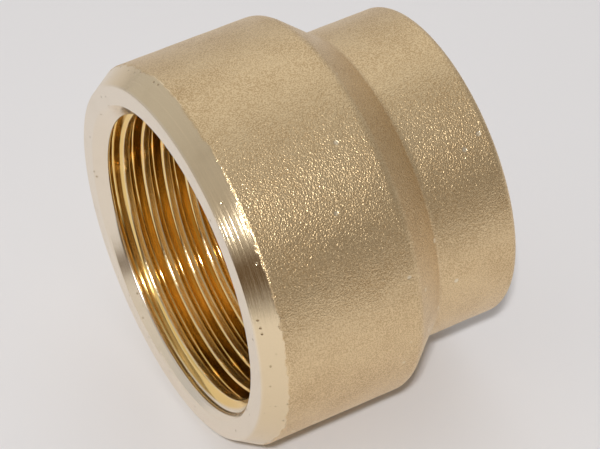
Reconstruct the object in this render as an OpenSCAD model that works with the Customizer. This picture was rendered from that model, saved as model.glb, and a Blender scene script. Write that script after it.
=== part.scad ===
// Reducing coupling: one piece of forged brass with a parallel pipe thread in each end,
// G 1 in the large end and G 3/4 in the small end. The forging is turned on both end faces,
// around the edge of the large one, and in both bores.
// It lies on its large barrel, with its axis along X and its large mouth at -X. The origin is
// under the middle of its length, on the surface that it lies on.

/* [Large end] */
// Outside diameter of the large barrel
large_od = 41; // [38:0.1:52]
// Length of the large barrel, from its face to the edge of the shoulder
large_barrel_len = 17.4; // [14.3:0.1:26]
// Length along the axis of the turned chamfer around the large face
face_chamfer_len = 2.4; // [0.8:0.1:3]
// Depth of that chamfer across the axis
face_chamfer_depth = 1.5; // [0.6:0.1:1.9]
// Radius that blends the chamfer into the barrel
face_chamfer_blend_r = 3; // [0.5:0.1:4]

/* [Large thread] */
// Major diameter of the large thread, which is 33.249 for G 1
large_thread_d = 33.249; // [27.7:0.001:33.6]
// Pitch of the large thread, which is 2.309 for G 1
large_thread_pitch = 2.309; // [1.6:0.001:2.8]
// Depth of the large bore, from the large face to the step inside
large_bore_depth = 16.4; // [13.6:0.1:18]
// Length of large bore that stays plain between its thread and the step
large_bore_relief = 1.4; // [0.6:0.1:2.4]

/* [Small end] */
// Outside diameter of the small barrel
small_od = 33.7; // [28.5:0.1:38]
// Length of the small barrel, from its face to the root of the shoulder
small_barrel_len = 9.2; // [7.8:0.1:16]
// Radius on the rim of the small face
small_rim_r = 0.8; // [0.4:0.1:1.8]

/* [Small thread] */
// Major diameter of the small thread, which is 26.441 for G 3/4
small_thread_d = 26.441; // [21:0.001:28]
// Pitch of the small thread, which is 1.814 for G 3/4
small_thread_pitch = 1.814; // [1.2:0.001:2.2]
// Length of small bore that stays plain between its thread and the step
small_bore_relief = 0.8; // [0.4:0.1:2]

/* [Shoulder and step] */
// Angle between the shoulder's cone and the axis
shoulder_angle = 41; // [32:1:50]
// Radius on the outer edge of the shoulder
shoulder_edge_r = 1.5; // [0.6:0.1:4]
// Radius in the root of the shoulder
shoulder_root_r = 1; // [0.4:0.1:2]
// Length of the cone between the two bores
step_cone_len = 1.8; // [0.8:0.1:3]

/* [Threading] */
// How much wider each bore is than its thread's smallest standard size, as a share of the pitch
bore_widening = 0.26; // [0:0.01:0.28]
// Angle around the axis, from the top, at which each thread starts
thread_start_angle = 35; // [0:5:355]
// How much wider than its thread each mouth is countersunk, across the diameter
countersink_extra_d = 0.8; // [0.2:0.05:1.2]
// Turns over which each thread fades out at its inner end
runout_turns = 0.5; // [0.25:0.05:1]

/* [Hidden] */
$fn = 96;

thread_depth_ratio = 0.640327;  // depth of a Whitworth thread, as a share of its pitch
flank_angle = 27.5;             // angle of each Whitworth flank from square to the axis
steps_per_turn = 24;
bore_overlap = 0.2;             // how far a groove's cutter stands inside the bore
cut_overlap = 1;                // how far a bore's cutter runs out of its face
least_flat = 0.4;               // width of flat face that the small rim's radius always leaves
seam_angle = 1.4;               // turns the outside's seam, so its mesh lies on a flat, not an edge

shoulder_len = (large_od - small_od) / 2 / tan(shoulder_angle);
overall_len = small_barrel_len + shoulder_len + large_barrel_len;
large_bore_r = bore_r(large_thread_d, large_thread_pitch);
small_bore_r = bore_r(small_thread_d, small_thread_pitch);
small_bore_depth = overall_len - large_bore_depth;
small_face_width = (small_od - small_thread_d - countersink_extra_d) / 2;
small_rim_limit = small_face_width - least_flat;

function minor_r(thread_d, pitch) = thread_d / 2 - thread_depth_ratio * pitch;
function bore_r(thread_d, pitch) = minor_r(thread_d, pitch) + bore_widening * pitch / 2;

// The outside, as [radius, height] with the small face at height 0
outline = [
    [0, 0],
    [small_od / 2, 0],
    [small_od / 2, small_barrel_len],
    [large_od / 2, small_barrel_len + shoulder_len],
    [large_od / 2, overall_len - face_chamfer_len],
    [large_od / 2 - face_chamfer_depth, overall_len],
    [0, overall_len],
];
// The radius on each of those points, which is negative in a hollow corner
outline_radii = [
    0,
    min(small_rim_r, small_rim_limit),
    -shoulder_root_r,
    shoulder_edge_r,
    face_chamfer_blend_r,
    0,
    0,
];

function unit(v) = v / norm(v);
function turn_at(p, i) = acos(unit(p[i] - p[i - 1]) * unit(p[i + 1] - p[i]));
function setback(p, i, r) = abs(r) * tan(turn_at(p, i) / 2);
function arc_ends(p, i, r) = [
    p[i] + unit(p[i - 1] - p[i]) * setback(p, i, r),
    p[i] + unit(p[i + 1] - p[i]) * setback(p, i, r),
];
function arc_centre(p, i, r) =
    p[i] + unit(unit(p[i - 1] - p[i]) + unit(p[i + 1] - p[i])) * abs(r) / cos(turn_at(p, i) / 2);

// A polygon whose corners are true arcs
module rounded_polygon(p, radii) {
    corners = [for (i = [0 : len(p) - 1]) each radii[i] == 0 ? [p[i]] : arc_ends(p, i, radii[i])];
    difference() {
        union() {
            polygon(corners);
            for (i = [0 : len(p) - 1]) if (radii[i] > 0) corner_disc(p, i, radii[i]);
        }
        for (i = [0 : len(p) - 1]) if (radii[i] < 0) corner_disc(p, i, radii[i]);
    }
}

module corner_disc(p, i, r) {
    translate(arc_centre(p, i, r)) circle(r = abs(r));
}

// One ring of the groove's section, at a turn's angle and height, cut out to root_r
function groove_ring(angle, z, inner_r, root_r, root_half) =
    let (
        inner_half = root_half + (root_r - inner_r) * tan(flank_angle),
        across = [cos(angle), sin(angle)]
    ) [
        [each across * inner_r, z - inner_half],
        [each across * root_r, z - root_half],
        [each across * root_r, z + root_half],
        [each across * inner_r, z + inner_half],
    ];

// Cutter for a right-hand groove. It starts a turn above height 0 and goes down to -depth,
// and its last part-turn fades out into the bore.
module thread_groove(thread_d, pitch, depth) {
    major_r = thread_d / 2;
    inner_r = bore_r(thread_d, pitch) - bore_overlap;
    faded_r = inner_r + bore_overlap / 2;
    root_half = pitch / 4 - thread_depth_ratio * pitch / 2 * tan(flank_angle);
    rings = ceil((depth / pitch + 1) * steps_per_turn);
    faded_rings = runout_turns * steps_per_turn;
    points = [for (i = [0 : rings]) each groove_ring(
        -360 * i / steps_per_turn,
        pitch - pitch * i / steps_per_turn,
        inner_r,
        faded_r + (major_r - faded_r) * min(1, (rings - i) / faded_rings),
        root_half
    )];
    sides = [for (i = [0 : rings - 1], k = [0 : 3]) let (near = 4 * i, far = near + 4, next = (k + 1) % 4)
        each [[near + k, far + k, far + next], [near + k, far + next, near + next]]];
    start_cap = [[0, 1, 2], [0, 2, 3]];
    end_cap = [for (t = start_cap) [for (k = [2, 1, 0]) 4 * rings + t[k]]];
    polyhedron(points, concat(start_cap, sides, end_cap));
}

// What is turned out of one end, with that end's face at height 0
module threaded_bore(thread_d, pitch, bore_depth, thread_depth) {
    crest_r = bore_r(thread_d, pitch);
    mouth_r = (thread_d + countersink_extra_d) / 2;
    mouth_depth = mouth_r - crest_r;
    translate([0, 0, -bore_depth]) cylinder(r = crest_r, h = bore_depth + cut_overlap);
    translate([0, 0, -mouth_depth]) cylinder(r1 = crest_r, r2 = mouth_r, h = mouth_depth);
    rotate(thread_start_angle) thread_groove(thread_d, pitch, thread_depth);
}

module large_bore() {
    threaded_bore(large_thread_d, large_thread_pitch, large_bore_depth, large_bore_depth - large_bore_relief);
}

module small_bore() {
    thread_depth = small_bore_depth - step_cone_len - small_bore_relief;
    threaded_bore(small_thread_d, small_thread_pitch, small_bore_depth, thread_depth);
}

module step_cone() {
    cylinder(r1 = small_bore_r, r2 = large_bore_r, h = step_cone_len);
}

module coupling_body() {
    color("#c9a86a")
    translate([overall_len / 2, 0, large_od / 2]) rotate([0, -90, 0])
    difference() {
        rotate(seam_angle) rotate_extrude() rounded_polygon(outline, outline_radii);
        translate([0, 0, overall_len]) large_bore();
        translate([0, 0, small_bore_depth - step_cone_len]) step_cone();
        rotate([180, 0, 0]) small_bore();
    }
}

coupling_body();
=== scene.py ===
"""Looks of a reducing coupling: a brass forging with a pipe thread cut in each end."""

import logging
import math
from dataclasses import dataclass, field
from enum import Enum
from typing import Any, Callable, Dict, List, Optional, Sequence, Tuple, Union

import bmesh
import bpy
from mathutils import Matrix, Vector, noise

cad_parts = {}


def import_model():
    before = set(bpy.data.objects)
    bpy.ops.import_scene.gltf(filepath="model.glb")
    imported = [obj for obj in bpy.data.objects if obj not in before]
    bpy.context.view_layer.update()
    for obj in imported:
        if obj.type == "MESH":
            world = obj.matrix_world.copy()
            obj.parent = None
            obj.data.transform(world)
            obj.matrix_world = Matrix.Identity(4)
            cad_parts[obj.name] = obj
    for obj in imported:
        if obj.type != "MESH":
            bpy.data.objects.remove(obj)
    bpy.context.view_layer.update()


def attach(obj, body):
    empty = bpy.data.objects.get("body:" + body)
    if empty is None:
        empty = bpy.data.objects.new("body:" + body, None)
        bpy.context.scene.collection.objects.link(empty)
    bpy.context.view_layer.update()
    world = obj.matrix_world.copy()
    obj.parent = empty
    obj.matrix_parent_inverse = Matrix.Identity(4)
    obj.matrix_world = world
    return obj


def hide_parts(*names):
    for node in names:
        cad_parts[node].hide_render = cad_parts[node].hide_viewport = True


LOG = logging.getLogger("coupling")
MM = 0.001
Colour = Tuple[float, float, float]
Point = Tuple[float, float]
Point3 = Tuple[float, float, float]


class Zone(Enum):
    """The surfaces that are finished differently, by the number of their material slot."""

    OUTSIDE = 0
    BORE = 1


class Wave(Enum):
    """The kinds of grain that a finish is made from, by how many axes each varies along."""

    LINES = "1D"
    GRAIN = "3D"


# --- Shader maths ---------------------------------------------------------------------------


class Signal:
    """A value on its way through a shader. Arithmetic on it adds Math nodes."""

    def __init__(self, graph: "Graph", socket: bpy.types.NodeSocket) -> None:
        """Wraps an output socket.

        Args:
            graph: the graph that the socket's node belongs to.
            socket: the output socket.
        """
        self.graph = graph
        self.socket = socket

    def _math(self, operation: str, *values: "Value") -> "Signal":
        """Adds one Math node.

        Args:
            operation: the node's operation.
            values: its inputs, in order.

        Returns:
            The node's result.
        """
        return self.graph.node("ShaderNodeMath", "Value", {"operation": operation}, *values)

    def __add__(self, other: "Value") -> "Signal":
        """self + other."""
        return self._math("ADD", self, other)

    def __radd__(self, other: "Value") -> "Signal":
        """other + self."""
        return self._math("ADD", other, self)

    def __sub__(self, other: "Value") -> "Signal":
        """self - other."""
        return self._math("SUBTRACT", self, other)

    def __rsub__(self, other: "Value") -> "Signal":
        """other - self."""
        return self._math("SUBTRACT", other, self)

    def __mul__(self, other: "Value") -> "Signal":
        """self * other."""
        return self._math("MULTIPLY", self, other)

    def __rmul__(self, other: "Value") -> "Signal":
        """other * self."""
        return self._math("MULTIPLY", other, self)

    def __truediv__(self, other: "Value") -> "Signal":
        """self / other."""
        return self._math("DIVIDE", self, other)

    def __pow__(self, other: "Value") -> "Signal":
        """self to the power of other."""
        return self._math("POWER", self, other)

    def angle(self, other: "Value") -> "Signal":
        """The angle of the point (other, self), in radians."""
        return self._math("ARCTAN2", self, other)

    def step(self, start: float, end: float) -> "Signal":
        """A smooth step in this value.

        Args:
            start: where the step is still 0.
            end: where it has reached 1; it may be below start.

        Returns:
            A value from 0 to 1.
        """
        turned = end < start
        low, high = min(start, end), max(start, end)
        settings = {"interpolation_type": "SMOOTHSTEP"}
        rise = self.graph.node("ShaderNodeMapRange", "Result", settings, self, low, high)
        return 1.0 - rise if turned else rise


Value = Union[Signal, float, int, Sequence[float]]


class Graph:
    """A node tree that is being filled."""

    def __init__(self, tree: bpy.types.NodeTree) -> None:
        """Empties the tree.

        Args:
            tree: the node tree of a material or world.
        """
        self.tree = tree
        tree.nodes.clear()

    def add(
        self, kind: str, settings: Optional[Dict[str, Any]] = None, *values: Value, **named: Value
    ) -> bpy.types.Node:
        """Adds any node.

        Args:
            kind: the node's type.
            settings: attributes that are set before the sockets, such as an operation.
            values: values or links for the inputs, in order.
            named: values or links for inputs by name or identifier, with _ for a space.

        Returns:
            The node.
        """
        made = self.tree.nodes.new(kind)
        for name, setting in (settings or {}).items():
            setattr(made, name, setting)
        for index, value in enumerate(values):
            self._feed(made.inputs[index], value)
        for name, value in named.items():
            self._feed(self._find(made.inputs, name), value)
        return made

    def node(
        self,
        kind: str,
        output: str,
        settings: Optional[Dict[str, Any]] = None,
        *values: Value,
        **named: Value,
    ) -> Signal:
        """Adds any node and takes one of its outputs.

        Args:
            kind: the node's type.
            output: the name or identifier of the output that is wanted.
            settings: as for add.
            values: as for add.
            named: as for add.

        Returns:
            The wanted output.
        """
        return Signal(self, self._find(self.add(kind, settings, *values, **named).outputs, output))

    def split(self, vector: Signal) -> Tuple[Signal, Signal, Signal]:
        """The three parts of a vector.

        Args:
            vector: the vector.

        Returns:
            Its x, y and z.
        """
        made = self.add("ShaderNodeSeparateXYZ", {}, vector)
        x, y, z = (Signal(self, socket) for socket in made.outputs)
        return x, y, z

    @staticmethod
    def _find(sockets: Any, name: str) -> bpy.types.NodeSocket:
        """The socket with that identifier, or else with that name.

        Args:
            sockets: a node's inputs or outputs.
            name: an identifier or a name, with _ for a space.

        Returns:
            The socket.
        """
        by_identifier = [s for s in sockets if s.identifier == name]
        return by_identifier[0] if by_identifier else sockets[name.replace("_", " ")]

    def _feed(self, socket: bpy.types.NodeSocket, value: Value) -> None:
        """Links or sets one input.

        Args:
            socket: the input.
            value: what it gets.
        """
        if isinstance(value, Signal):
            self.tree.links.new(value.socket, socket)
        elif socket.type == "RGBA" and len(value) == 3:
            socket.default_value = (*value, 1.0)
        else:
            socket.default_value = value

    def blend(self, factor: Value, first: Value, second: Value) -> Signal:
        """Mixes two colours.

        Args:
            factor: 0 for the first colour, 1 for the second.
            first: a colour.
            second: a colour.

        Returns:
            The mixed colour.
        """
        settings = {"data_type": "RGBA", "clamp_factor": True}
        named = {"Factor_Float": factor, "A_Color": first, "B_Color": second}
        return self.node("ShaderNodeMix", "Result_Color", settings, **named)

    def texture(self, wave: Wave, where: Signal, size: float, detail: float = 0.0) -> Signal:
        """Adds noise.

        Args:
            wave: what the noise varies along.
            where: the coordinate, in millimetres; a value for lines, a vector for grain.
            size: the size of one lump or line, in millimetres.
            detail: how many finer layers are added.

        Returns:
            A value around 0.5.
        """
        named = {"W" if wave is Wave.LINES else "Vector": where, "Scale": 1.0 / size, "Detail": detail}
        return self.node("ShaderNodeTexNoise", "Fac", {"noise_dimensions": wave.value}, **named)

    def dimples(self, where: Signal, size: float) -> Signal:
        """Adds rounded cells.

        Args:
            where: the coordinate, in millimetres.
            size: the size of one cell, in millimetres.

        Returns:
            The distance from the middle of each cell, as a share of its size.
        """
        settings = {"feature": "F1", "voronoi_dimensions": "3D"}
        return self.node("ShaderNodeTexVoronoi", "Distance", settings, Vector=where, Scale=1.0 / size)


@dataclass
class Surface:
    """What a finish says about each point: its colour, its roughness and its height."""

    colour: Signal
    roughness: Signal
    height: Signal


@dataclass
class Place:
    """Coordinates on the coupling in millimetres, as a shader sees them."""

    graph: Graph
    axis_height: float
    point: Signal = field(init=False)
    along: Signal = field(init=False)
    radius: Signal = field(init=False)
    around: Signal = field(init=False)

    def __post_init__(self) -> None:
        """Works out the coordinates from the object's own."""
        graph = self.graph
        found = graph.node("ShaderNodeTexCoord", "Object")
        self.point = graph.node(
            "ShaderNodeVectorMath", "Vector", {"operation": "SCALE"}, found, Scale=1.0 / MM
        )
        self.along, across, height = graph.split(self.point)
        up = height - self.axis_height
        self.radius = (across * across + up * up) ** 0.5
        self.around = graph.node("ShaderNodeCombineXYZ", "Vector", {}, 0.0, across, up)


# --- Finishes -------------------------------------------------------------------------------


@dataclass(frozen=True)
class ForgedSkin:
    """The skin of the forging, dulled and dimpled by shot-blasting.

    Sizes and depths are in millimetres. Each edge is where a mask starts and where it is full.
    """

    colour: Colour = (0.84, 0.645, 0.385)
    # This dark colour is both painted shade in the grain's hollows and the random tone of the slow
    # patches.
    mottle_and_shade_colour: Colour = (0.48, 0.31, 0.145)
    nick_colour: Colour = (0.95, 0.86, 0.68)
    roughness: float = 0.36
    grain_size: float = 0.14
    grain_depth: float = 0.074
    grain_share: float = 0.75
    grain_gloss: float = 0.3
    dimple_size: float = 0.238
    dimple_share: float = 0.35
    patch_size: float = 4.5
    patch_shade: float = 0.5
    patch_gloss: float = 0.16
    # Painted shade: the grain's hollows are painted darker. This stands in for the dark surroundings that
    # the grain's tiny facets reflect.
    painted_shade_level: float = 0.58
    painted_shade_blur: float = 0.16
    painted_shade_strength: float = 0.42
    base_shade: float = 0.05
    shade_edge: Tuple[float, float] = (-0.05, 0.95)
    nick_size: float = 3.4
    nick_depth: float = 0.03
    nick_edge: Tuple[float, float] = (0.10, 0.05)
    nick_cover: float = 0.7

    def paint(self, place: Place) -> Surface:
        """Makes the skin's shader values.

        Args:
            place: coordinates on the coupling.

        Returns:
            Its colour, roughness and height in millimetres.
        """
        graph = place.graph
        grain = graph.texture(Wave.GRAIN, place.point, self.grain_size, 1.5)
        dimple = graph.dimples(place.point, self.dimple_size)
        patch = graph.texture(Wave.GRAIN, place.point, self.patch_size, 2.0)
        # Painted shade in the grain's hollows, plus random patches of darker and lighter tone.
        painted_hollow_shade = (self.painted_shade_level - grain).step(0.0, self.painted_shade_blur)
        shade = painted_hollow_shade * self.painted_shade_strength + (patch - 0.5) * self.patch_shade + self.base_shade
        metal = graph.blend(shade.step(*self.shade_edge), self.colour, self.mottle_and_shade_colour)
        nick = graph.dimples(place.point, self.nick_size).step(*self.nick_edge) * (0.6 + grain * 0.6)
        relief = grain * self.grain_share + dimple * self.dimple_share
        return Surface(
            colour=graph.blend(nick * self.nick_cover, metal, self.nick_colour),
            roughness=self.roughness + (patch - 0.5) * self.patch_gloss - (grain - 0.5) * self.grain_gloss,
            height=relief * self.grain_depth - nick * self.nick_depth,
        )


@dataclass(frozen=True)
class TurnedBrass:
    """Brass as the lathe leaves it, with marks around the axis and a few small pits.

    Sizes and depths are in millimetres. The marks are counted along the axis plus slant times
    the radius, so they show on a flat face, on a cone and on a cylinder alike.
    """

    colour: Colour = (0.88, 0.78, 0.64)
    edge_colour: Colour = (0.84, 0.68, 0.45)
    pit_colour: Colour = (0.42, 0.30, 0.16)
    roughness: float = 0.18
    mark_depth: float = 0.0065
    fine_size: float = 0.035
    coarse_size: float = 0.22
    coarse_share: float = 1.6
    coarse_gloss: float = 0.06
    smear_size: float = 2.4
    smear_gloss: float = 0.08
    smear_cover: float = 0.12
    pit_size: float = 1.3
    pit_depth: float = 0.03
    pit_edge: Tuple[float, float] = (0.14, 0.05)
    pit_cover: float = 0.7
    edge_blur: Tuple[float, float] = (-0.1, 0.2)
    slant: float = 0.62

    def paint(self, place: Place, edge_radius: float) -> Surface:
        """Makes the shader values of a turned surface.

        Args:
            place: coordinates on the coupling.
            edge_radius: the radius beyond which the metal keeps its richer colour.

        Returns:
            Its colour, roughness and height in millimetres.
        """
        graph = place.graph
        feed = place.along + place.radius * self.slant
        fine = graph.texture(Wave.LINES, feed, self.fine_size, 1.0)
        coarse = graph.texture(Wave.LINES, feed, self.coarse_size, 2.0)
        smear = graph.texture(Wave.GRAIN, place.point, self.smear_size, 2.0)
        pit = graph.dimples(place.point, self.pit_size).step(*self.pit_edge)
        edge = place.radius.step(edge_radius + self.edge_blur[0], edge_radius + self.edge_blur[1])
        metal = graph.blend(edge, self.colour, self.edge_colour)
        dull = pit * self.pit_cover + (0.5 - smear).step(0.0, 0.4) * self.smear_cover
        coarse_depth = self.mark_depth * self.coarse_share
        return Surface(
            colour=graph.blend(dull, metal, self.pit_colour),
            roughness=self.roughness
            + (smear - 0.5) * self.smear_gloss
            + (coarse - 0.5) * self.coarse_gloss,
            height=fine * self.mark_depth + coarse * coarse_depth - pit * self.pit_depth,
        )


@dataclass(frozen=True)
class ThreadBrass:
    """Freshly cut brass in the threads, rich orange in the grooves and paler on the crests; the grooves'
    orange is partly painted bounce light.

    Sizes and depths are in millimetres, and slant is as for turned brass.
    """

    # Partly painted bounce light: this deep orange stands in for light bounced between the flanks, on top
    # of fresh-cut brass.
    colour: Colour = (0.93, 0.66, 0.26)
    crest_colour: Colour = (0.93, 0.77, 0.50)
    roughness: float = 0.09
    mark_depth: float = 0.0024
    fine_size: float = 0.04
    coarse_size: float = 0.16
    coarse_share: float = 1.2
    smear_size: float = 1.1
    smear_gloss: float = 0.06
    speck_size: float = 0.28
    torn_edge: Tuple[float, float] = (0.02, 0.16)
    torn_depth: float = 0.002
    torn_gloss: float = 0.05
    crest_reach: float = 0.10
    crest_cover: float = 0.7
    crest_gloss: float = 0.04
    slant: float = 0.5

    def paint(self, place: Place, crest_radius: Signal) -> Surface:
        """Makes the shader values of a thread.

        Args:
            place: coordinates on the coupling.
            crest_radius: the radius of the thread's crests at this point.

        Returns:
            Its colour, roughness and height in millimetres.
        """
        graph = place.graph
        feed = place.along + place.radius * self.slant
        fine = graph.texture(Wave.LINES, feed, self.fine_size, 1.0)
        coarse = graph.texture(Wave.LINES, feed, self.coarse_size, 1.0)
        smear = graph.texture(Wave.GRAIN, place.point, self.smear_size, 2.0)
        speck = graph.texture(Wave.GRAIN, place.point, self.speck_size, 1.0)
        crest = (place.radius - crest_radius).step(self.crest_reach, 0.0)
        torn = (speck - 0.5).step(*self.torn_edge) * crest
        pale = crest * (self.crest_cover + smear * (1.0 - self.crest_cover))
        coarse_depth = self.mark_depth * self.coarse_share
        return Surface(
            colour=graph.blend(pale, self.colour, self.crest_colour),
            roughness=self.roughness
            + (smear - 0.5) * self.smear_gloss
            + crest * self.crest_gloss
            + torn * self.torn_gloss,
            height=fine * self.mark_depth + coarse * coarse_depth - torn * self.torn_depth,
        )


@dataclass
class BrassMaterials:
    """The two materials of the coupling, put together from its finishes.

    Sizes are in millimetres. The turned band's edge drifts slowly around the axis and is ragged
    at close range.
    """

    size: "CouplingSizes"
    skin: ForgedSkin = ForgedSkin()
    turned: TurnedBrass = TurnedBrass()
    thread: ThreadBrass = ThreadBrass()
    drift_size: float = 9.0
    drift: float = 0.7
    ragged_size: float = 1.1
    ragged: float = 0.9
    large_edge_blur: float = 0.12
    small_edge_in: float = 0.12
    small_edge_blur: float = 0.06
    small_edge_ragged: float = 0.2
    turned_rise: float = 0.04
    countersink_depth: float = 1.5
    countersink_blur: float = 0.12
    countersink_roughness: float = 0.12

    def outside(self) -> bpy.types.Material:
        """Forged skin, turned away at both end faces along a slightly wavy edge.

        Returns:
            The material.
        """
        material, place = self._start("brass_outside")
        graph = place.graph
        skin = self.skin.paint(place)
        turned = self.turned.paint(place, self.size.face_radius)
        drift = (graph.texture(Wave.GRAIN, place.around, self.drift_size, 1.0) - 0.5) * self.drift
        ragged = (graph.texture(Wave.GRAIN, place.point, self.ragged_size, 3.0) - 0.5) * self.ragged
        half = self.size.length / 2
        large_edge = place.along + drift + ragged + half - self.size.turned_length
        small_edge = place.along + ragged * self.small_edge_ragged - half + self.small_edge_in
        at_large = large_edge.step(self.large_edge_blur, -self.large_edge_blur)
        at_small = small_edge.step(-self.small_edge_blur, self.small_edge_blur)
        is_turned = 1.0 - (1.0 - at_large) * (1.0 - at_small)
        mixed = Surface(
            colour=graph.blend(is_turned, skin.colour, turned.colour),
            roughness=skin.roughness * (1.0 - is_turned) + turned.roughness * is_turned,
            height=skin.height * (1.0 - is_turned) + (turned.height + self.turned_rise) * is_turned,
        )
        self._close(graph, mixed)
        return material

    def bore(self) -> bpy.types.Material:
        """Cut brass of the bores, with pale turned countersinks at their mouths.

        Returns:
            The material.
        """
        material, place = self._start("brass_bore")
        step_at = self.size.length / 2 - self.size.step_height
        half_step = self.size.step_length / 2
        is_small = place.along.step(step_at - half_step, step_at + half_step)
        large, small = self.size.large_thread.crest_radius, self.size.small_thread.crest_radius
        crest_radius = large + is_small * (small - large)
        cut = self.thread.paint(place, crest_radius)
        turned = self.turned.paint(place, self.size.face_radius)
        reach = self.size.length / 2 - self.countersink_depth
        from_middle = (place.along * place.along) ** 0.5
        is_mouth = from_middle.step(reach - self.countersink_blur, reach + self.countersink_blur)
        cut.colour = place.graph.blend(is_mouth, cut.colour, turned.colour)
        cut.roughness = cut.roughness + is_mouth * self.countersink_roughness
        self._close(place.graph, cut)
        return material

    def _start(self, name: str) -> Tuple[bpy.types.Material, Place]:
        """Makes an empty material.

        Args:
            name: its name.

        Returns:
            The material, and coordinates in its graph.
        """
        material = bpy.data.materials.new(name)
        material.use_nodes = True
        return material, Place(Graph(material.node_tree), self.size.axis_height)

    @staticmethod
    def _close(graph: Graph, surface: Surface) -> None:
        """Sends a surface's values to a metal shader.

        Args:
            graph: the material's graph.
            surface: what the shader gets.
        """
        height = {"Height": surface.height, "Distance": MM, "Strength": 1.0}
        normal = graph.node("ShaderNodeBump", "Normal", {}, **height)
        shader = graph.node(
            "ShaderNodeBsdfPrincipled",
            "BSDF",
            {},
            Base_Color=surface.colour,
            Metallic=1.0,
            Roughness=surface.roughness,
            Normal=normal,
        )
        graph.add("ShaderNodeOutputMaterial", {}, Surface=shader)


# --- Shape ----------------------------------------------------------------------------------


class PipeSize(Enum):
    """Standard pipe threads, by their major radius and their pitch in millimetres."""

    G_1 = (16.6245, 2.309)
    G_3_4 = (13.2205, 1.814)


@dataclass(frozen=True)
class PipeThread:
    """An internal pipe thread with 55-degree flanks, in millimetres.

    Heights run from the small face to the large one. The thread runs from an open mouth at
    mouth to its last turn at inner_end, where it fades out.
    """

    major_radius: float
    pitch: float
    mouth: float
    inner_end: float
    crest_widening: float
    start_turn: float
    fade_turns: float = 0.5
    corner: float = 0.05

    DEPTH = 0.640327
    ROOT_RADIUS = 0.137329
    FLANK = math.radians(27.5)
    ROOT_ROW = 0.55
    END_MARGIN = 1.2

    @property
    def crest_radius(self) -> float:
        """Radius of the crests, which the drilled bore leaves flat."""
        return self.major_radius - self.DEPTH * self.pitch + self.crest_widening

    @property
    def direction(self) -> int:
        """1 where the mouth is above the inner end, and -1 where it is below."""
        return 1 if self.mouth > self.inner_end else -1

    def full_profile(self, off: float) -> float:
        """Radius of the groove's full profile.

        Args:
            off: distance along the axis from the groove's middle.

        Returns:
            The radius, before the bore cuts its crests.
        """
        root = self.ROOT_RADIUS * self.pitch
        centre = self.major_radius - root
        reach = abs(off)
        if reach < root * math.cos(self.FLANK):
            return centre + math.sqrt(root * root - reach * reach)
        mid_radius = self.major_radius - self.DEPTH * self.pitch / 2
        return mid_radius - (reach - self.pitch / 4) / math.tan(self.FLANK)

    @property
    def lip(self) -> float:
        """Half the width of a groove where it opens into the bore."""
        mid_radius = self.major_radius - self.DEPTH * self.pitch / 2
        return self.pitch / 4 + (mid_radius - self.crest_radius) * math.tan(self.FLANK)

    @property
    def plain_start(self) -> float:
        """Height at which the last groove has ended and the bore is plain."""
        return self.inner_end - self.direction * (self.lip + self.END_MARGIN * self.corner)

    def groove_height(self, number: int, share: float) -> float:
        """Height of a groove's middle.

        Args:
            number: which turn of the groove.
            share: angle around the axis from the top, in turns.

        Returns:
            The height.
        """
        return self.mouth + (number + share - self.direction * self.start_turn) * self.pitch

    def offsets(self) -> List[float]:
        """Where the rows of one pitch stand.

        Returns:
            Their distances from the groove's middle, in rising order.
        """
        root = self.ROOT_RADIUS * self.pitch * math.cos(self.FLANK)
        near = [root * self.ROOT_ROW, root, (root + self.lip) / 2]
        near += [self.lip - self.corner / 2, self.lip + self.corner]
        return [-x for x in reversed(near)] + [0.0] + near + [self.pitch / 2]

    def radius(self, height: float, share: float) -> float:
        """Radius of the thread at one point.

        Args:
            height: height of the point.
            share: angle around the axis from the top, in turns.

        Returns:
            The radius.
        """
        number = round((height - self.groove_height(0, share)) / self.pitch)
        groove = self.groove_height(number, share)
        left = (groove - self.inner_end) * self.direction / self.pitch
        depth = min(1.0, max(0.0, left / self.fade_turns))
        sunk = (1.0 - depth) * (self.major_radius - self.crest_radius)
        return max(self.full_profile(height - groove) - sunk, self.crest_radius)


@dataclass(frozen=True)
class CouplingSizes:
    """Sizes of the coupling in millimetres. Heights run from the small face to the large one.

    The crests' widening is a share of the pitch, and the threads start at a share of a turn.
    """

    length: float = 30.7985
    axis_height: float = 20.5
    large_radius: float = 20.492
    small_radius: float = 16.85
    face_radius: float = 19.0
    chamfer_length: float = 2.4
    chamfer_blend: float = 0.4
    large_barrel_length: float = 17.4
    small_barrel_length: float = 9.2
    shoulder_edge: float = 1.5
    shoulder_root: float = 1.0
    rim: float = 0.8
    face_edge: float = 0.15
    mouth_extra: float = 0.4
    large_bore_depth: float = 16.4
    step_length: float = 1.8
    large_relief: float = 1.4
    small_relief: float = 0.8
    step_inner_edge: float = 0.12
    step_outer_corner: float = 0.25
    turned_length: float = 2.27
    crest_widening: float = 0.13
    thread_start: float = 35 / 360

    @property
    def step_height(self) -> float:
        """Height at which the small bore ends and the cone between the bores starts."""
        return self.length - self.large_bore_depth - self.step_length

    @property
    def large_thread(self) -> PipeThread:
        """The G 1 thread in the large end."""
        inner_end = self.length - self.large_bore_depth + self.large_relief
        return self._pipe_thread(PipeSize.G_1, self.length, inner_end)

    @property
    def small_thread(self) -> PipeThread:
        """The G 3/4 thread in the small end."""
        return self._pipe_thread(PipeSize.G_3_4, 0.0, self.step_height - self.small_relief)

    def _pipe_thread(self, standard: PipeSize, mouth: float, inner_end: float) -> PipeThread:
        """Makes one thread.

        Args:
            standard: its standard size.
            mouth: height of its open mouth.
            inner_end: height of its last turn.

        Returns:
            The thread.
        """
        major_radius, pitch = standard.value
        widening = self.crest_widening * pitch
        return PipeThread(major_radius, pitch, mouth, inner_end, widening, self.thread_start)


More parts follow.
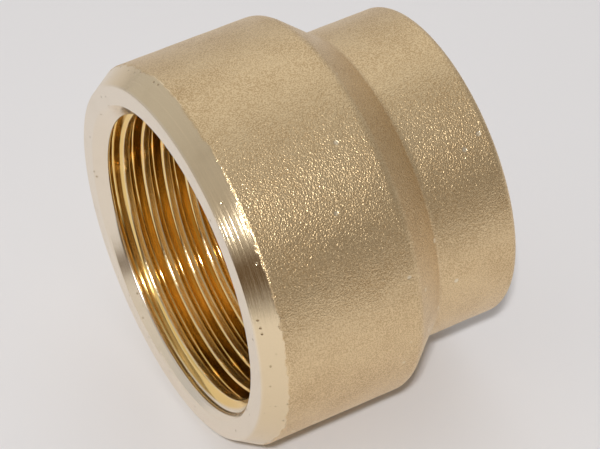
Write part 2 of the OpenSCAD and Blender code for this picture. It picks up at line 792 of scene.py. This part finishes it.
@dataclass
class CouplingBody:
    """The coupling itself: one closed skin turned around the axis, with helical threads.

    Sizes are in millimetres and arc_step in degrees. The forged skin sinks by its unevenness,
    in lumps that are given by their size and their share.
    """

    size: CouplingSizes
    columns: int = 240
    skin_step: float = 0.5
    unevenness: float = 0.045
    even_sink: float = 0.5
    lump_sink: float = 0.9
    lumps: Tuple[Tuple[float, float], ...] = ((5.5, 0.6), (2.1, 0.4))
    rim_bare: float = 0.2
    fade: float = 0.8
    long_stretch: float = 0.75
    edge_row: float = 0.06
    arc_step: float = 7.5
    weld: float = 0.0004
    points: List[Point3] = field(default_factory=list)
    faces: List[Tuple[int, int, int, int]] = field(default_factory=list)
    zones: List[Zone] = field(default_factory=list)

    def build(self) -> bpy.types.Object:
        """Makes the body's mesh in the row frame.

        Returns:
            The object.
        """
        self._revolve(self._outside(), Zone.OUTSIDE, self._forged)
        self._thread(self.size.small_thread)
        self._revolve(self._step(), Zone.BORE, None)
        self._thread(self.size.large_thread)
        return self._mesh("coupling_brass_body")

    def _outside(self) -> List[Point]:
        """Draws the section of the outside.

        Returns:
            Its (radius, height) points, from the large mouth to the small one.
        """
        s = self.size
        mouth = s.large_thread.major_radius + s.mouth_extra
        small_mouth = s.small_thread.major_radius + s.mouth_extra
        corners = [
            (mouth, s.length, 0.0),
            (s.face_radius, s.length, s.face_edge),
            (s.large_radius, s.length - s.chamfer_length, s.chamfer_blend),
            (s.large_radius, s.length - s.large_barrel_length, s.shoulder_edge),
            (s.small_radius, s.small_barrel_length, s.shoulder_root),
            (s.small_radius, 0.0, s.rim),
            (small_mouth, 0.0, 0.0),
        ]
        return self._walk(self._rounded(corners))

    def _step(self) -> List[Point]:
        """Draws the section between the two threads.

        Returns:
            Its (radius, height) points, from the small thread to the large one.
        """
        s = self.size
        small, large = s.small_thread, s.large_thread
        top = s.step_height + s.step_length
        corners = [
            (small.crest_radius, small.plain_start, 0.0),
            (small.crest_radius, s.step_height, s.step_inner_edge),
            (large.crest_radius, top, s.step_outer_corner),
            (large.crest_radius, large.plain_start, 0.0),
        ]
        return self._walk(self._rounded(corners))

    def _rounded(self, corners: Sequence[Point3]) -> List[Point]:
        """Rounds the corners of an open line.

        Args:
            corners: (radius, height, rounding) of each.

        Returns:
            The line's points, with each arc cut into short steps.
        """
        line: List[Point] = []
        for index, (radius, height, rounding) in enumerate(corners):
            here = Vector((radius, height))
            if rounding == 0.0:
                line.append((radius, height))
                continue
            back = (Vector(corners[index - 1][:2]) - here).normalized()
            ahead = (Vector(corners[index + 1][:2]) - here).normalized()
            half = back.angle(ahead) / 2
            setback = rounding / math.tan(half)
            centre = here + (back + ahead).normalized() * rounding / math.sin(half)
            start, end = here + back * setback - centre, here + ahead * setback - centre
            turn = start.angle(end)
            steps = max(3, math.ceil(math.degrees(turn) / self.arc_step))
            for i in range(steps + 1):
                share = i / steps
                from_start = start * math.sin((1 - share) * turn)
                from_end = end * math.sin(share * turn)
                line.append(tuple(centre + (from_start + from_end) / math.sin(turn)))
        return line

    def _walk(self, line: Sequence[Point]) -> List[Point]:
        """Adds points to the long stretches of a line, with two close to each end.

        Args:
            line: (radius, height) points.

        Returns:
            The line with more points.
        """
        walked = [line[0]]
        for start, end in zip(line, line[1:]):
            a, b = Vector(start), Vector(end)
            span = (b - a).length
            if span > self.long_stretch:
                steps = max(1, round(span / self.skin_step))
                by_edge = self.edge_row / span
                shares = [by_edge] + [i / steps for i in range(1, steps)] + [1 - by_edge]
                walked += [tuple(a.lerp(b, share)) for share in shares]
            walked.append(end)
        return walked

    def _forged(self, radius: float, height: float, turn: float) -> float:
        """Lets the forged skin sink a little, unevenly, and leaves its highest parts in place.

        Args:
            radius: radius on the true section.
            height: height there.
            turn: angle around the axis, in radians.

        Returns:
            The radius that the skin has.
        """
        s = self.size
        below_chamfer = s.length - s.turned_length - height
        above_rim = height - self.rim_bare
        skin = min(1.0, max(0.0, below_chamfer / self.fade), max(0.0, above_rim / self.fade))
        spot = Vector((height, radius * math.sin(turn), radius * math.cos(turn)))
        lumps = sum(noise.noise(spot / size) * share for size, share in self.lumps)
        low = self.unevenness * skin * (self.even_sink + self.lump_sink * lumps)
        return radius - max(0.0, low)

    def _place(self, radius: float, height: float, turn: float) -> Point3:
        """Puts a point of the section in the row frame.

        Args:
            radius: distance from the axis.
            height: height from the small face.
            turn: angle around the axis from the top, in radians.

        Returns:
            The point in metres.
        """
        s = self.size
        return (
            (s.length / 2 - height) * MM,
            radius * math.sin(turn) * MM,
            (s.axis_height + radius * math.cos(turn)) * MM,
        )

    def _revolve(
        self,
        line: Sequence[Point],
        zone: Zone,
        bend: Optional[Callable[[float, float, float], float]],
    ) -> None:
        """Turns a line around the axis.

        Args:
            line: (radius, height) points.
            zone: how the surface is finished.
            bend: gives the radius that a point really has, or None.
        """

        def node(row: int, column: int) -> Point3:
            """Finds one mesh point.

            Args:
                row: number of the point along the line.
                column: number of the point around the axis.

            Returns:
                The point in metres.
            """
            radius, height = line[row]
            turn = 2 * math.pi * (column % self.columns) / self.columns
            return self._place(bend(radius, height, turn) if bend else radius, height, turn)

        self._grid(len(line), node, zone)

    def _thread(self, thread: PipeThread) -> None:
        """Adds one threaded bore, in rows that follow its helix.

        Args:
            thread: the thread.
        """
        low, high = sorted((thread.mouth, thread.plain_start))
        mouth_radius = thread.major_radius + self.size.mouth_extra
        start = thread.groove_height(0, 0.0)
        first = math.floor((low - start) / thread.pitch) - 2
        last = math.ceil((high - start) / thread.pitch) + 1
        rows = [(number, off) for number in range(first, last + 1) for off in thread.offsets()]

        def node(row: int, column: int) -> Point3:
            """Finds one mesh point.

            Args:
                row: number of the point in rows.
                column: number of the point around the axis.

            Returns:
                The point in metres.
            """
            number, off = rows[row]
            share = column / self.columns
            height = min(high, max(low, thread.groove_height(number, share) + off))
            countersink = mouth_radius - abs(thread.mouth - height)
            radius = max(thread.radius(height, share), countersink)
            return self._place(radius, height, 2 * math.pi * share)

        self._grid(len(rows), node, Zone.BORE)

    def _grid(self, rows: int, node: Callable[[int, int], Point3], zone: Zone) -> None:
        """Adds a grid of four-sided faces.

        Args:
            rows: how many rows of points it has.
            node: gives the point of a row and a column.
            zone: how its faces are finished.
        """
        start = len(self.points)
        wide = self.columns + 1
        self.points += [node(row, column) for row in range(rows) for column in range(wide)]
        for row in range(rows - 1):
            for column in range(self.columns):
                corner = start + row * wide + column
                self.faces.append((corner, corner + 1, corner + wide + 1, corner + wide))
                self.zones.append(zone)

    def _mesh(self, name: str) -> bpy.types.Object:
        """Joins the grids into one closed mesh.

        Args:
            name: the object's name.

        Returns:
            The object.
        """
        mesh = bpy.data.meshes.new(name)
        work = bmesh.new()
        corners = [work.verts.new(point) for point in self.points]
        for face, zone in zip(self.faces, self.zones):
            made = work.faces.new([corners[i] for i in face])
            made.material_index = zone.value
            made.smooth = True
        bmesh.ops.remove_doubles(work, verts=work.verts, dist=self.weld * MM)
        bmesh.ops.dissolve_degenerate(work, edges=work.edges, dist=self.weld * MM)
        bmesh.ops.recalc_face_normals(work, faces=work.faces)
        loose = [e for e in work.edges if len(e.link_faces) != 2]
        LOG.info("%s: %d faces, %d open edges", name, len(work.faces), len(loose))
        work.to_mesh(mesh)
        work.free()
        made = bpy.data.objects.new(name, mesh)
        bpy.context.scene.collection.objects.link(made)
        return made

    def dress(self, body: bpy.types.Object) -> None:
        """Gives the body its materials and its crisp turned edges.

        Args:
            body: the object that build made.
        """
        materials = BrassMaterials(self.size)
        body.data.materials.append(materials.outside())
        body.data.materials.append(materials.bore())
        weighted = body.modifiers.new("edge_normals", "WEIGHTED_NORMAL")
        weighted.mode = "FACE_AREA_WITH_ANGLE"
        weighted.weight = 60


# --- Studio ---------------------------------------------------------------------------------


@dataclass(frozen=True)
class Lamp:
    """A soft light, placed by its direction from the coupling."""

    name: str
    direction: Point3
    distance: float
    width: float
    height: float
    power: float
    colour: Colour = (1.0, 1.0, 1.0)

    def hang(self, target: Vector) -> None:
        """Makes the light and turns it to the target.

        Args:
            target: the point that it lights.
        """
        data = bpy.data.lights.new(self.name, "AREA")
        data.shape = "RECTANGLE"
        data.size = self.width
        data.size_y = self.height
        data.energy = self.power
        data.color = self.colour
        lamp = bpy.data.objects.new(self.name, data)
        towards = Vector(self.direction).normalized()
        lamp.location = target + towards * self.distance
        lamp.rotation_mode = "QUATERNION"
        lamp.rotation_quaternion = towards.to_track_quat("Z", "Y")
        bpy.context.scene.collection.objects.link(lamp)


@dataclass
class Studio:
    """A pale table in soft light, and the camera.

    The tent of light is darker at the front than at the back, bright at the large mouth's side,
    and dim in the direction from which the coupling is seen. A dark gap lies low at its front
    and ends before the small mouth's side. The gap's slopes are in degrees above the table, and
    each edge is where a mask starts and where it is full.
    """

    floor_half: float = 1.5
    floor_colour: Colour = (0.80, 0.79, 0.80)
    floor_roughness: float = 0.65
    aim: Point3 = (-0.0002, 0.0, 0.01832)
    camera_azimuth: float = 60.5
    camera_elevation: float = 45.93
    camera_distance: float = 0.300
    lens: float = 175.26
    shift: Tuple[float, float] = (-0.0011, 0.0026)
    sensor: float = 36.0
    clip: Tuple[float, float] = (0.01, 20.0)
    tent_strength: float = 0.57
    front_colour: Colour = (0.52, 0.50, 0.48)
    back_colour: Colour = (0.98, 0.98, 0.99)
    back_edge: Tuple[float, float] = (-0.7, 0.9)
    mouth_side_colour: Colour = (1.25, 1.18, 1.08)
    mouth_side_edge: Tuple[float, float] = (-0.6, -0.98)
    dim_colour: Colour = (0.16, 0.10, 0.05)
    dim_direction: Point3 = (-0.342, -0.605, 0.718)
    dim_edge: Tuple[float, float] = (0.82, 0.95)
    dim_cover: float = 0.5
    gap_colour: Colour = (0.15, 0.075, 0.015)
    gap_foot: Tuple[float, float] = (2.0, 14.0)
    gap_top: Tuple[float, float] = (46.0, 30.0)
    gap_side: Tuple[float, float] = (0.55, 0.15)
    gap_cover: float = 0.95
    lamps: Tuple[Lamp, ...] = (
        Lamp("flash", (-0.34, -0.53, 0.777), 0.9, 0.05, 0.035, 4.9),
        Lamp("overhead", (0.35, 0.60, 0.72), 0.8, 0.9, 0.9, 0.7, (1.0, 0.98, 0.95)),
    )

    def build(self) -> None:
        """Makes the floor, the surroundings, the lights and the camera."""
        self._floor()
        self._surroundings()
        self._lights()
        self._camera()

    def _floor(self) -> None:
        """Makes the table top."""
        reach = self.floor_half
        mesh = bpy.data.meshes.new("table_top")
        mesh.from_pydata(
            [(-reach, -reach, 0), (reach, -reach, 0), (reach, reach, 0), (-reach, reach, 0)],
            [],
            [(0, 1, 2, 3)],
        )
        floor = bpy.data.objects.new("table_top", mesh)
        bpy.context.scene.collection.objects.link(floor)
        material = bpy.data.materials.new("table_top_card")
        material.use_nodes = True
        graph = Graph(material.node_tree)
        shader = graph.node(
            "ShaderNodeBsdfPrincipled",
            "BSDF",
            {},
            Base_Color=self.floor_colour,
            Roughness=self.floor_roughness,
        )
        graph.add("ShaderNodeOutputMaterial", {}, Surface=shader)
        mesh.materials.append(material)

    def _surroundings(self) -> None:
        """Makes the light tent around the table."""
        world = bpy.data.worlds.new("light_tent")
        bpy.context.scene.world = world
        world.use_nodes = True
        graph = Graph(world.node_tree)
        towards = graph.node("ShaderNodeTexCoord", "Generated")
        x, y, z = graph.split(towards)
        slope = z.angle(-1.0 * y) * (180 / math.pi)
        gap = slope.step(*self.gap_foot) * slope.step(*self.gap_top) * x.step(*self.gap_side)
        dim_x, dim_y, dim_z = self.dim_direction
        dim = (x * dim_x + y * dim_y + z * dim_z).step(*self.dim_edge)
        colour = graph.blend(y.step(*self.back_edge), self.front_colour, self.back_colour)
        colour = graph.blend(x.step(*self.mouth_side_edge), colour, self.mouth_side_colour)
        colour = graph.blend(dim * self.dim_cover, colour, self.dim_colour)
        colour = graph.blend(gap * self.gap_cover, colour, self.gap_colour)
        settings = {"Color": colour, "Strength": self.tent_strength}
        lit = graph.node("ShaderNodeBackground", "Background", {}, **settings)
        graph.add("ShaderNodeOutputWorld", {}, Surface=lit)

    def _lights(self) -> None:
        """Hangs the lamps."""
        for lamp in self.lamps:
            lamp.hang(Vector(self.aim))

    def _camera(self) -> None:
        """Makes the camera."""
        data = bpy.data.cameras.new("camera")
        data.sensor_width = self.sensor
        data.lens = self.lens
        data.shift_x, data.shift_y = self.shift
        data.clip_start, data.clip_end = self.clip
        camera = bpy.data.objects.new("camera", data)
        azimuth, elevation = math.radians(self.camera_azimuth), math.radians(self.camera_elevation)
        back = Vector(
            (
                -math.cos(azimuth) * math.cos(elevation),
                -math.sin(azimuth) * math.cos(elevation),
                math.sin(elevation),
            )
        )
        camera.location = Vector(self.aim) + back * self.camera_distance
        camera.rotation_mode = "QUATERNION"
        camera.rotation_quaternion = back.to_track_quat("Z", "Y")
        bpy.context.scene.collection.objects.link(camera)
        bpy.context.scene.camera = camera


def main() -> None:
    """Builds the coupling and its studio."""
    logging.basicConfig(level=logging.INFO, format="%(message)s")
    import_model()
    bpy.context.scene.view_settings.view_transform = "Standard"
    coupling = CouplingBody(CouplingSizes())
    body = coupling.build()
    coupling.dress(body)
    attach(body, "root")
    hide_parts("coupling_body")
    LOG.info("built %s", body.name)
    Studio().build()


if __name__ == "__main__":
    main()
